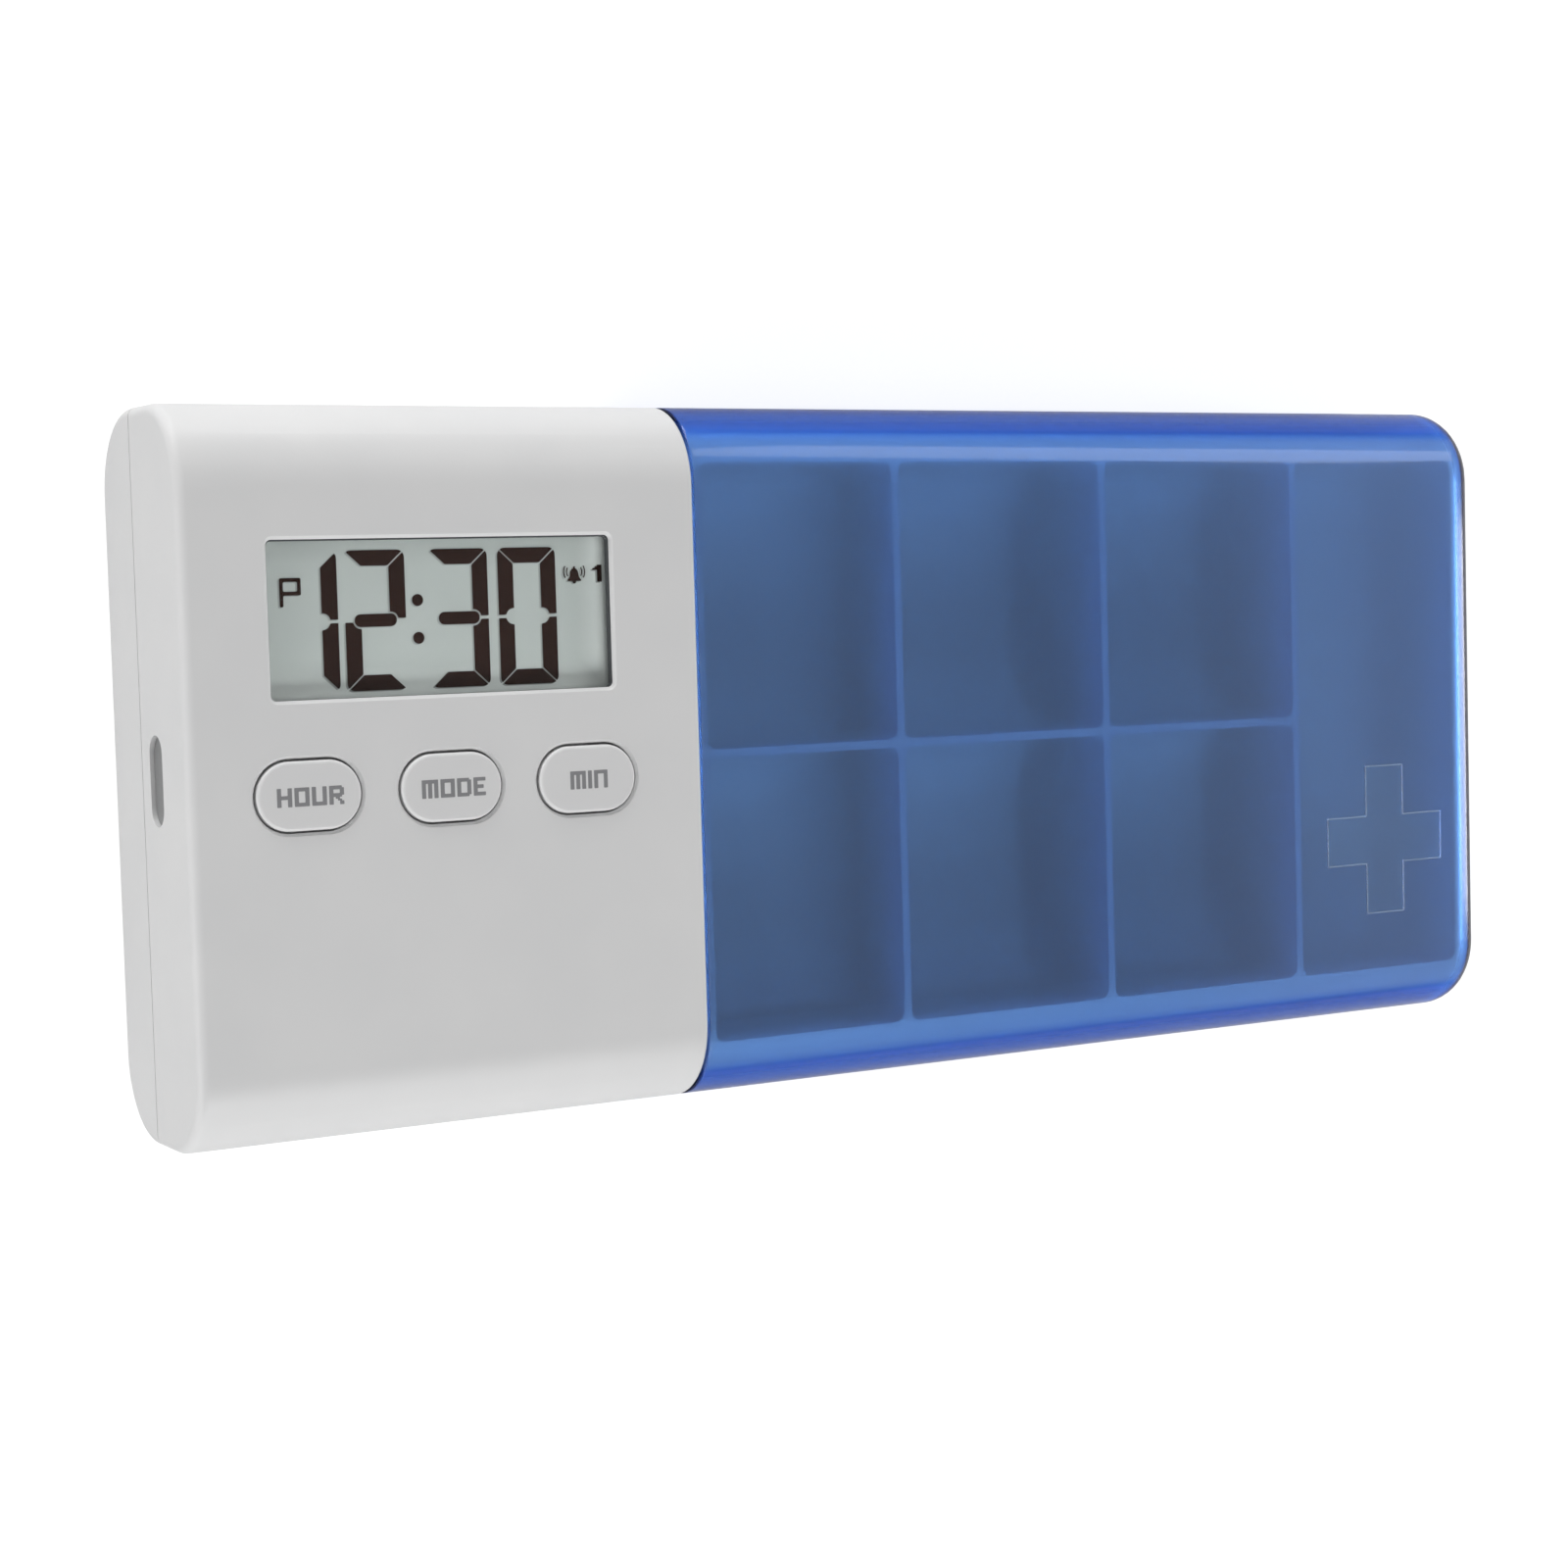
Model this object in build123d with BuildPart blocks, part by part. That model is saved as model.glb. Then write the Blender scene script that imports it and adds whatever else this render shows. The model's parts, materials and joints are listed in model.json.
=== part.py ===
from build123d import *
import math
import os

os.makedirs("parts", exist_ok=True)

# An electronic pill box: a clock unit with a compartment tray fixed to its end, and a sleeve over the tray.
# Millimetres. X runs along the box towards the sleeve, Y across it and Z out of its face.
# It lies on its back at Z 0.

# Casing of the clock unit
shell_wall = 1.5
edge_radius = 7.5
end_round = 0.9
rim_round = 0.4
parting_share = 0.41
parting_gap = 0.12
lip_height = 1.2
lip_play = 0.08
snap_reach = 0.25
snap_width = 5.0
snap_height = 0.5
snap_play = 0.07
snap_pitch = 30.0
overrun = 1.0
edge_margin = 0.3

# Power cells and their bay
cell_length = 44.5
cell_diameter = 10.5
cell_gap = 0.3
cell_lift = 0.15
cell_round = 0.5
nub_length = 0.8
nub_diameter = 3.8
bay_wall = 0.8
bay_ceiling = 0.8

# Contacts of the cells
contact_thickness = 0.4
contact_width = 8.0
contact_height = 8.6
leaf_length = 3.5
leaf_thickness = 0.3
leaf_width = 4.0
leaf_height = 7.0
leg_width = 2.5
leg_play = 0.15

# Battery door
door_gap = 0.2
tongue_play = 0.05
tongue_thickness = 0.8
tongue_reach = 1.0
tongue_width = 1.5
groove_play = 0.1
rail_backing = 1.0
rail_roof = 0.95
door_inset = 2.4
door_tip = 1.5
wrap_reach = 1.4
wrap_inset = 0.5
wrap_height = 4.6
grip_length = 12.0
grip_width = 0.8
grip_depth = 0.3
grip_pitch = 1.8
grip_count = 4

# Circuit board and what stands on it
board_gap = 0.2
board_thickness = 1.0
board_edge = 1.9
board_side_gap = 1.7
board_left_gap = 0.3
board_end_gap = 0.7
board_screw_inset = 9.0
board_screw_pitch = 25.0
chip_radius = 4.5
chip_height = 0.8
chip_round = 0.5
crystal_radius = 0.95
crystal_length = 6.0
crystal_drop = 13.0
small_length = 2.0
small_width = 1.25
small_height = 0.6
small_pitch = 4.0
small_drop = 13.0
small_columns = 4
small_rows = 2

# Display
window_width = 32.7
window_height = 13.8
window_corner = 0.5
window_chamfer = 0.3
window_top_margin = 12.0
window_offset = 0.45
pane_recess = 0.9
pane_thickness = 0.8
pane_lap = 1.3
pane_play = 0.1
pane_gap = 0.1
panel_margin_x = 1.65
panel_margin_y = 1.9
panel_thickness = 1.7
panel_ledge = 1.0
strip_height = 1.1
strip_width = 1.8
strip_inset = 0.5
strip_end = 1.0
strip_play = 0.05
holder_wall = 1.0
holder_play = 0.1
holder_drop = 0.2
holder_land = 0.5

# Push buttons and their switches
button_length = 9.6
button_width = 6.05
button_pitch = 13.35
button_drop = 8.2
button_gap = 0.2
button_rise = 0.2
button_round = 0.35
button_chamfer = 0.25
flange_lap = 0.9
flange_height = 0.8
flange_play = 0.05
press_travel = 0.4
switch_size = 4.5
switch_height = 1.5
plunger_radius = 1.0
plunger_play = 0.1
plunger_seat = 0.6

# Alarm lamp in the end face
slot_length = 8.0
slot_height = 3.3
lamp_drop = 2.35
lens_recess = 0.4
lens_play = 0.1
lens_lap = 0.8
lens_flange = 0.8
lamp_gap = 0.1
led_depth = 1.5
led_width = 3.0
led_height = 3.4
led_round = 0.4
led_gap = 0.5

# Piezo sounder
ring_radius = 7.8
ring_wall = 0.8
ring_height = 0.8
ring_gap = 0.6
sounder_drop = 6.5
sounder_play = 0.2
plate_thickness = 0.2
ceramic_radius = 5.2
ceramic_thickness = 0.2
sound_hole_radius = 0.6
sound_circle = 2.6
sound_holes = 6
lead_radius = 0.35
lead_rise = 3.8
lead_shift = 5.0
lead_edge = 1.4
bend_share = 0.45

# Screws
screw_radius = 1.0
screw_length = 10.0
head_radius = 1.8
head_height = 1.3
bore_depth = 2.6
bore_play = 0.3
shank_play = 0.2
pilot_play = 0.02
pilot_gap = 0.4
post_radius = 2.6
boss_radius = 2.3
post_gap = 0.3
post_inset = 3.3
notch_gap = 0.4
small_screw_radius = 0.85
small_head_radius = 1.75
small_head_height = 1.0
small_screw_reach = 2.2
small_boss_radius = 2.2
head_gap = 0.45
drive_length = 1.8
drive_width = 0.4
drive_depth = 0.6

# Tray
collar = 1.4
tray_clearance = 0.3
tray_wall = 1.4
tray_end_wall = 1.8
tray_floor = 1.2
divider_wall = 0.8
first_column = 20.95
middle_column = 23.7
last_column = 21.25
tray_side_gap = 2.9
rim_reach = 1.2
rim_drop = 3.4
lid_clearance = 0.4
pocket_corner = 1.0
pocket_scoop = 7.0
neck_width = 40.0
neck_height = 10.0
neck_wall = 1.4
neck_gap = 0.1
neck_play = 0.2
neck_flange_lap = 1.5
neck_flange = 1.5

# Sleeve
cover_wall = 1.2
cover_gap = 0.2
cover_end_round = 3.4
mouth_round = 0.2
cross_length = 15.8
cross_width = 5.2
cross_depth = 0.25
cross_end_margin = 14.0
cross_side_margin = 19.4

# Across the box, the width follows from the power cells, the board beside them and the casing around both
bay_half = (cell_length + leaf_length + 2 * contact_thickness) / 2
board_screw_y = bay_half + bay_wall + small_head_radius + head_gap
board_half = board_screw_y + board_edge
body_height = 2 * (board_half + board_side_gap + shell_wall)
half_height = body_height / 2

# Through the box, from the back to the face
tongue_low = shell_wall + tongue_play
tongue_high = tongue_low + tongue_thickness
groove_top = tongue_high + groove_play
rail_top = groove_top + rail_roof
cell_low = groove_top + cell_lift
cell_axis = cell_low + cell_diameter / 2
bay_roof = cell_low + cell_diameter + cell_gap
bay_top = bay_roof + bay_ceiling
board_low = bay_top + board_gap
board_top = board_low + board_thickness
panel_low = board_top + strip_height
panel_top = panel_low + panel_thickness
pane_low = panel_top + pane_gap
pane_top = pane_low + pane_thickness
body_depth = pane_top + pane_recess
parting = body_depth * parting_share
inner_face = body_depth - shell_wall

# Along the box, from the lamp to the closed end of the sleeve
bay_width = 2 * cell_diameter + 3 * cell_gap
groove_depth = tongue_reach + groove_play
rail_width = groove_depth + rail_backing
bay_start = shell_wall + lens_flange + lamp_gap + led_depth + led_gap + bay_wall
sounder_start = bay_start + bay_width + rail_width + ring_gap
neck_reach = shell_wall + neck_play + neck_flange
unit_length = sounder_start + 2 * ring_radius + board_end_gap + neck_reach
split_columns = [first_column, middle_column, middle_column]
divider_walls = len(split_columns) * divider_wall
tray_length = collar + sum(split_columns) + divider_walls + last_column + tray_end_wall
cover_length = tray_length + tray_clearance + cover_wall - cover_gap
box_length = unit_length + cover_gap + cover_length
left_end = -box_length / 2
unit_end = left_end + unit_length
cover_start = unit_end + cover_gap
cover_end = cover_start + cover_length

# Places that several pieces share
bay_left = left_end + bay_start
bay_right = bay_left + bay_width
bay_centre = (bay_left + bay_right) / 2
cell_pitch = cell_diameter + cell_gap
left_cell_x = bay_centre - cell_pitch / 2
right_cell_x = bay_centre + cell_pitch / 2
door_top = bay_half - door_inset
wrap_edge = -bay_half - bay_wall - wrap_inset
window_x = left_end + unit_length / 2 - window_offset
window_y = half_height - window_top_margin - window_height / 2
button_y = window_y - window_height / 2 - button_drop
button_names = ["hour", "mode", "min"]
button_places = [(window_x + step * button_pitch, button_y) for step in (-1, 0, 1)]
panel_width = window_width + 2 * panel_margin_x
panel_height = window_height + 2 * panel_margin_y
holder_width = panel_width + 2 * (holder_play + holder_wall)
holder_height = panel_height + 2 * (holder_play + holder_wall)
lamp_z = board_low - lamp_drop
sounder_x = left_end + sounder_start + ring_radius
sounder_y = button_y - sounder_drop
board_left = left_end + shell_wall + lens_flange + board_left_gap
board_right = unit_end - neck_reach - board_end_gap
post_x = unit_end - shell_wall - post_inset
post_y = window_y + holder_height / 2 + post_gap + boss_radius
post_places = [(post_x, -post_y), (post_x, post_y)]
board_screw_x = left_end + board_screw_inset
board_screw_places = [
    (board_screw_x + step * board_screw_pitch, side * board_screw_y) for step in (0, 1) for side in (-1, 1)
]
flange_top = inner_face - flange_play
flange_low = flange_top - flange_height
switch_top = board_top + switch_height
tray_inset = cover_wall + tray_clearance
tray_half = half_height - cover_wall - tray_side_gap
tray_top = body_depth - cover_wall - lid_clearance
pocket_floor = tray_inset + tray_floor
neck_low = (body_depth - neck_height) / 2
upright = (Align.CENTER, Align.CENTER, Align.MIN)
from_left = (Align.MIN, Align.CENTER, Align.MIN)


# Full-rounded section of the box, drawn in from its outer face
def casing_profile(inset, x):
    with BuildSketch(Plane.YZ.offset(x)) as profile:
        with Locations((0, body_depth / 2)):
            RectangleRounded(body_height - 2 * inset, body_depth - 2 * inset, edge_radius - inset)
    return profile.sketch


# Outer shape of the clock unit
def casing_block():
    with BuildPart() as block:
        extrude(casing_profile(0, left_end), amount=unit_length)
        fillet(block.faces().sort_by(Axis.X)[0].edges(), end_round)
        fillet(block.faces().sort_by(Axis.X)[-1].edges(), rim_round)
    return block.part


# Takes the hollow out of the casing that is being built
def hollow_casing():
    hollow = casing_profile(shell_wall, left_end + shell_wall)
    extrude(hollow, amount=unit_length - 2 * shell_wall, mode=Mode.SUBTRACT)


# Takes the tray's neck opening out of the casing's inner end wall
def open_neck():
    with Locations((unit_end - shell_wall - overrun, 0, neck_low - neck_gap)):
        Box(
            shell_wall + 2 * overrun,
            neck_width + 2 * neck_gap,
            neck_height + 2 * neck_gap,
            align=from_left,
            mode=Mode.SUBTRACT,
        )


# Edges on the box's face around a hole
def face_edges(part, place, length, width):
    reach_x = length / 2 + edge_margin
    reach_y = width / 2 + edge_margin
    edges = part.edges().filter_by_position(Axis.Z, body_depth, body_depth)
    edges = edges.filter_by_position(Axis.X, place[0] - reach_x, place[0] + reach_x)
    return edges.filter_by_position(Axis.Y, place[1] - reach_y, place[1] + reach_y)


# Front half of the casing
lip_outer_x = unit_length - shell_wall
lip_outer_y = body_height - shell_wall
unit_centre = (left_end + unit_end) / 2
window_place = (window_x, window_y)
button_hole_length = button_length + 2 * button_gap
button_hole_width = button_width + 2 * button_gap
snap_low = parting + lip_height - snap_height - snap_play
snap_places = [(left_end + shell_wall / 2, side * snap_pitch / 2, snap_low) for side in (-1, 1)]
with BuildPart() as front_shell:
    add(casing_block())
    hollow_casing()
    split(bisect_by=Plane.XY.offset(parting + parting_gap), keep=Keep.TOP)
    with Locations((unit_centre, 0, parting)):
        Box(lip_outer_x, lip_outer_y, lip_height + lip_play, align=upright, mode=Mode.SUBTRACT)
    with BuildSketch(Plane.XY.offset(parting)):
        with Locations(*post_places):
            Circle(boss_radius)
    extrude(amount=body_depth - parting)
    with BuildSketch(Plane.XY.offset(board_top)):
        with Locations(*board_screw_places):
            Circle(small_boss_radius)
    extrude(amount=body_depth - board_top)
    add(casing_block(), mode=Mode.INTERSECT)
    with BuildSketch(Plane.XY.offset(body_depth)):
        with Locations(window_place):
            RectangleRounded(window_width, window_height, window_corner)
        with Locations(*button_places):
            SlotOverall(button_hole_length, button_hole_width)
    extrude(amount=-shell_wall - overrun, mode=Mode.SUBTRACT)
    chamfer(face_edges(front_shell, window_place, window_width, window_height), window_chamfer)
    for place in button_places:
        chamfer(face_edges(front_shell, place, button_hole_length, button_hole_width), button_chamfer)
    with Locations((window_x, window_y, pane_top)):
        Box(
            window_width + 2 * (pane_lap + pane_play),
            window_height + 2 * (pane_lap + pane_play),
            pane_top - inner_face,
            align=(Align.CENTER, Align.CENTER, Align.MAX),
            mode=Mode.SUBTRACT,
        )
    with BuildSketch(Plane.YZ.offset(left_end)):
        with Locations((0, lamp_z)):
            SlotOverall(slot_length, slot_height)
    extrude(amount=shell_wall, mode=Mode.SUBTRACT)
    open_neck()
    for x, y, z in snap_places:
        with Locations((x - snap_reach - snap_play, y, z - snap_play)):
            Box(
                snap_reach + shell_wall,
                snap_width + 2 * snap_play,
                snap_height + 2 * snap_play,
                align=from_left,
                mode=Mode.SUBTRACT,
            )
    with BuildSketch(Plane.XY.offset(parting)):
        with Locations(*post_places):
            Circle(screw_radius + pilot_play)
    extrude(amount=bore_depth + screw_length - parting + pilot_gap, mode=Mode.SUBTRACT)
    with BuildSketch(Plane.XY.offset(board_top)):
        with Locations(*board_screw_places):
            Circle(small_screw_radius + pilot_play)
    extrude(amount=small_screw_reach + pilot_gap / 2, mode=Mode.SUBTRACT)
front_shell.part.label = "front_shell"
export_step(front_shell.part, "parts/front_shell.step")

# Back half of the casing, with the bay for the power cells and the sounder's ring
bay_span = 2 * (bay_half + bay_wall)
groove_end = door_top + door_tip + door_gap
leg_slot = contact_thickness + 2 * leg_play
with BuildPart() as back_shell:
    add(casing_block())
    hollow_casing()
    split(bisect_by=Plane.XY.offset(parting), keep=Keep.BOTTOM)
    with BuildSketch(Plane.XY.offset(parting)):
        with Locations((unit_centre, 0)):
            Rectangle(lip_outer_x - 2 * lip_play, lip_outer_y - 2 * lip_play)
            Rectangle(unit_length - 2 * shell_wall, body_height - 2 * shell_wall, mode=Mode.SUBTRACT)
    extrude(amount=lip_height)
    for x, y, z in snap_places:
        with Locations((x - snap_reach, y, z)):
            Box(snap_reach + shell_wall / 2, snap_width, snap_height, align=from_left)
    with Locations((bay_centre, 0, shell_wall / 2)):
        Box(bay_width + 2 * bay_wall, bay_span, bay_top - shell_wall / 2, align=upright)
        Box(bay_width + 2 * rail_width, bay_span, rail_top - shell_wall / 2, align=upright)
    with BuildSketch(Plane.XY):
        with Locations(*post_places):
            Circle(post_radius)
    extrude(amount=parting)
    with BuildSketch(Plane.XY.offset(shell_wall / 2)):
        with Locations((sounder_x, sounder_y)):
            Circle(ring_radius)
            Circle(ring_radius - ring_wall, mode=Mode.SUBTRACT)
    extrude(amount=shell_wall / 2 + ring_height)
    add(casing_block(), mode=Mode.INTERSECT)
    with Locations((bay_centre, 0, shell_wall)):
        Box(bay_width, 2 * bay_half, bay_roof - shell_wall, align=upright, mode=Mode.SUBTRACT)
    with BuildSketch(Plane.XY):
        with Locations((bay_centre, door_top)):
            Rectangle(bay_width, door_top + half_height + overrun, align=(Align.CENTER, Align.MAX))
    extrude(amount=groove_top, mode=Mode.SUBTRACT)
    with BuildSketch(Plane.XY.offset(shell_wall)):
        with Locations((bay_centre, groove_end)):
            Rectangle(
                bay_width + 2 * groove_depth,
                groove_end + half_height + overrun,
                align=(Align.CENTER, Align.MAX),
            )
    extrude(amount=groove_top - shell_wall, mode=Mode.SUBTRACT)
    with BuildSketch(Plane.XY):
        with Locations((bay_centre, wrap_edge)):
            Rectangle(
                bay_width + 2 * wrap_reach,
                half_height + overrun + wrap_edge,
                align=(Align.CENTER, Align.MAX),
            )
    extrude(amount=wrap_height, mode=Mode.SUBTRACT)
    for x in (left_cell_x, right_cell_x):
        with Locations((x, bay_half - contact_thickness / 2, bay_roof - overrun)):
            Box(
                leg_width + 2 * leg_play,
                leg_slot,
                bay_ceiling + 2 * overrun,
                align=upright,
                mode=Mode.SUBTRACT,
            )
    open_neck()
    with BuildSketch(Plane.XY):
        with Locations(*post_places):
            Circle(screw_radius + shank_play)
        with Locations((sounder_x, sounder_y)):
            Circle(sound_hole_radius)
            with PolarLocations(sound_circle, sound_holes):
                Circle(sound_hole_radius)
    extrude(amount=parting, mode=Mode.SUBTRACT)
    with BuildSketch(Plane.XY):
        with Locations(*post_places):
            Circle(head_radius + bore_play)
    extrude(amount=bore_depth, mode=Mode.SUBTRACT)
back_shell.part.label = "back_shell"
export_step(back_shell.part, "parts/back_shell.step")

# Battery door: a plate that wraps round the lower edge, with tongues along both sides and at its tip
wide_width = bay_width + 2 * (wrap_reach - door_gap)
wide_left = bay_centre - wide_width / 2
plate_width = bay_width - 2 * door_gap
tongue_span = tongue_reach + tongue_width
tongue_length = door_top + door_tip - wrap_edge
with BuildPart() as battery_door:
    extrude(casing_profile(0, wide_left), amount=wide_width)
    extrude(casing_profile(shell_wall, wide_left), amount=wide_width, mode=Mode.SUBTRACT)
    with BuildSketch(Plane.XY):
        with Locations((bay_centre, door_top - door_gap)):
            Rectangle(plate_width, door_top - door_gap + half_height, align=(Align.CENTER, Align.MAX))
        with Locations((bay_centre, wrap_edge - door_gap)):
            Rectangle(wide_width, half_height + wrap_edge - door_gap, align=(Align.CENTER, Align.MAX))
    extrude(amount=wrap_height - door_gap, mode=Mode.INTERSECT)
    for side in (-1, 1):
        edge = bay_centre + side * bay_width / 2
        outward = Align.MIN if side > 0 else Align.MAX
        with Locations((edge - side * tongue_width, door_top + door_tip, tongue_low)):
            Box(tongue_span, tongue_length, tongue_thickness, align=(outward, Align.MAX, Align.MIN))
        with Locations((edge - side * tongue_width, door_top - door_gap, shell_wall / 2)):
            Box(
                tongue_width - door_gap,
                door_top - door_gap - wrap_edge,
                tongue_high - shell_wall / 2,
                align=(outward, Align.MAX, Align.MIN),
            )
    with Locations((bay_centre, door_top + door_tip, tongue_low)):
        Box(
            plate_width,
            door_tip + tongue_width,
            tongue_thickness,
            align=(Align.CENTER, Align.MAX, Align.MIN),
        )
    with Locations((bay_centre, door_top - door_gap, shell_wall / 2)):
        Box(
            plate_width,
            tongue_width - door_gap,
            tongue_high - shell_wall / 2,
            align=(Align.CENTER, Align.MAX, Align.MIN),
        )
    with BuildSketch(Plane.XY):
        with Locations((bay_centre, wrap_edge + grip_count * grip_pitch / 2)):
            with GridLocations(grip_length, grip_pitch, 1, grip_count):
                SlotOverall(grip_length, grip_width)
    extrude(amount=grip_depth, mode=Mode.SUBTRACT)
battery_door.part.label = "battery_door"
export_step(battery_door.part, "parts/battery_door.step")

# Two power cells, side by side and end for end
cell_sides = {"left": (left_cell_x, 1), "right": (right_cell_x, -1)}
for name, (x, end) in cell_sides.items():
    nub_tip = end * (bay_half - contact_thickness)
    can_end = nub_tip - end * nub_length
    with BuildPart() as battery:
        with BuildSketch(Plane.XZ.offset(-can_end)):
            with Locations((x, cell_axis)):
                Circle(cell_diameter / 2)
        extrude(amount=end * (cell_length - nub_length))
        fillet(battery.edges().filter_by(GeomType.CIRCLE), cell_round)
        with BuildSketch(Plane.XZ.offset(-nub_tip)):
            with Locations((x, cell_axis)):
                Circle(nub_diameter / 2)
        extrude(amount=end * (nub_length + cell_round))
    battery.part.label = f"{name}_battery"
    export_step(battery.part, f"parts/{name}_battery.step")


# Contact plate against an end wall of the bay
def contact_plate(x, width, end):
    with Locations((x, end * (bay_half - contact_thickness / 2), cell_axis - contact_height / 2)):
        Box(width, contact_thickness, contact_height, align=upright)


# Bent leaf that presses on a cell's flat end
def contact_leaf(x, end):
    root = end * (bay_half - contact_thickness)
    tip = root - end * (leaf_length - leaf_thickness / 2)
    with BuildSketch(Plane.YZ.offset(x - leaf_width / 2)) as leaf:
        with BuildLine():
            Polyline(
                (root, cell_axis - leaf_height / 2),
                (tip, cell_axis),
                (root - end * leaf_thickness, cell_axis + leaf_height / 2),
            )
        trace(line_width=leaf_thickness)
    extrude(leaf.sketch, amount=leaf_width)


# Leg from a contact plate up to the board
def contact_leg(x):
    leg_low = cell_axis + contact_height / 2
    with Locations((x, bay_half - contact_thickness / 2, leg_low)):
        Box(leg_width, contact_thickness, board_low - leg_low, align=upright)


# Keeps what lies between a cell's flat end and the bay's end wall
def trim_contact(end):
    inner = bay_half - contact_thickness - leaf_length
    with Locations((bay_centre, end * (inner + bay_half) / 2, 0)):
        Box(bay_width, bay_half - inner, body_depth, align=upright, mode=Mode.INTERSECT)


with BuildPart() as bridge_contact:
    contact_plate(bay_centre, cell_pitch + contact_width, -1)
    contact_leaf(left_cell_x, -1)
    trim_contact(-1)
bridge_contact.part.label = "bridge_contact"
export_step(bridge_contact.part, "parts/bridge_contact.step")

with BuildPart() as positive_contact:
    contact_plate(left_cell_x, contact_width, 1)
    contact_leg(left_cell_x)
positive_contact.part.label = "positive_contact"
export_step(positive_contact.part, "parts/positive_contact.step")

with BuildPart() as negative_contact:
    contact_plate(right_cell_x, contact_width, 1)
    contact_leaf(right_cell_x, 1)
    contact_leg(right_cell_x)
    trim_contact(1)
negative_contact.part.label = "negative_contact"
export_step(negative_contact.part, "parts/negative_contact.step")

# Circuit board, with its two inner corners cut away round the screw bosses
notch_x = post_x - boss_radius - notch_gap
notch_y = post_y - boss_radius - notch_gap
with BuildPart() as circuit_board:
    with BuildSketch(Plane.XY.offset(board_low)):
        with Locations(((board_left + board_right) / 2, 0)):
            Rectangle(board_right - board_left, 2 * board_half)
        for side in (-1, 1):
            with Locations((notch_x, side * notch_y)):
                Rectangle(
                    board_right - notch_x + overrun,
                    board_half - notch_y + overrun,
                    align=(Align.MIN, Align.MIN if side > 0 else Align.MAX),
                    mode=Mode.SUBTRACT,
                )
        with Locations(*board_screw_places):
            Circle(small_screw_radius + shank_play, mode=Mode.SUBTRACT)
    extrude(amount=board_thickness)
circuit_board.part.label = "circuit_board"
export_step(circuit_board.part, "parts/circuit_board.step")

# Controller under its drop of black resin, inside the display's holder
with BuildPart() as controller_chip:
    with BuildSketch(Plane.XY.offset(board_top)):
        with Locations((window_x, window_y)):
            Circle(chip_radius)
    extrude(amount=chip_height)
    fillet(controller_chip.faces().sort_by(Axis.Z)[-1].edges(), chip_round)
controller_chip.part.label = "controller_chip"
export_step(controller_chip.part, "parts/controller_chip.step")

# Clock crystal in its small can, lying on the board
crystal_y = button_y - crystal_drop
with BuildPart() as clock_crystal:
    with BuildSketch(Plane.YZ.offset(sounder_x - crystal_length / 2)):
        with Locations((crystal_y, board_top + crystal_radius)):
            Circle(crystal_radius)
    extrude(amount=crystal_length)
    with Locations((sounder_x, crystal_y, board_top)):
        Box(crystal_length - 2 * crystal_radius, crystal_radius, crystal_radius, align=upright)
clock_crystal.part.label = "clock_crystal"
export_step(clock_crystal.part, "parts/clock_crystal.step")

# Resistors and capacitors
with BuildPart() as chip_components:
    with BuildSketch(Plane.XY.offset(board_top)):
        with Locations((bay_centre, button_y - small_drop)):
            with GridLocations(small_pitch, small_pitch, small_columns, small_rows):
                Rectangle(small_length, small_width)
    extrude(amount=small_height)
chip_components.part.label = "chip_components"
export_step(chip_components.part, "parts/chip_components.step")

# Clear pane, set into the casing from inside
with BuildPart() as lcd_window:
    with Locations((window_x, window_y, pane_low)):
        Box(window_width + 2 * pane_lap, window_height + 2 * pane_lap, pane_thickness, align=upright)
lcd_window.part.label = "lcd_window"
export_step(lcd_window.part, "parts/lcd_window.step")

# Display panel: two glasses, of which the lower one stands out above and below
with BuildPart() as lcd_panel:
    with Locations((window_x, window_y, panel_low)):
        Box(panel_width, panel_height, panel_thickness / 2, align=upright)
        Box(panel_width, panel_height - 2 * panel_ledge, panel_thickness, align=upright)
lcd_panel.part.label = "lcd_panel"
export_step(lcd_panel.part, "parts/lcd_panel.step")

# Rubber contact strips between the panel and the board
strip_offset = panel_height / 2 - strip_inset - strip_width / 2
strip_length = panel_width - 2 * strip_end
for name, side in {"upper": 1, "lower": -1}.items():
    with BuildPart() as strip:
        with Locations((window_x, window_y + side * strip_offset, board_top)):
            Box(strip_length, strip_width, strip_height, align=upright)
    strip.part.label = f"{name}_contact_strip"
    export_step(strip.part, f"parts/{name}_contact_strip.step")

# Holder round the panel and the strips
holder_ledge = strip_inset + strip_width + holder_land
with BuildPart() as lcd_holder:
    with Locations((window_x, window_y, board_top)):
        Box(holder_width, holder_height, panel_top - holder_drop - board_top, align=upright)
        Box(
            panel_width - 2 * holder_ledge,
            panel_height - 2 * holder_ledge,
            panel_top - board_top,
            align=upright,
            mode=Mode.SUBTRACT,
        )
    with Locations((window_x, window_y, panel_low)):
        Box(
            panel_width + 2 * holder_play,
            panel_height + 2 * holder_play,
            panel_thickness,
            align=upright,
            mode=Mode.SUBTRACT,
        )
    for side in (-1, 1):
        with Locations((window_x, window_y + side * strip_offset, board_top)):
            Box(
                strip_length + 2 * strip_play,
                strip_width + 2 * strip_play,
                strip_height,
                align=upright,
                mode=Mode.SUBTRACT,
            )
lcd_holder.part.label = "lcd_holder"
export_step(lcd_holder.part, "parts/lcd_holder.step")

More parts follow.
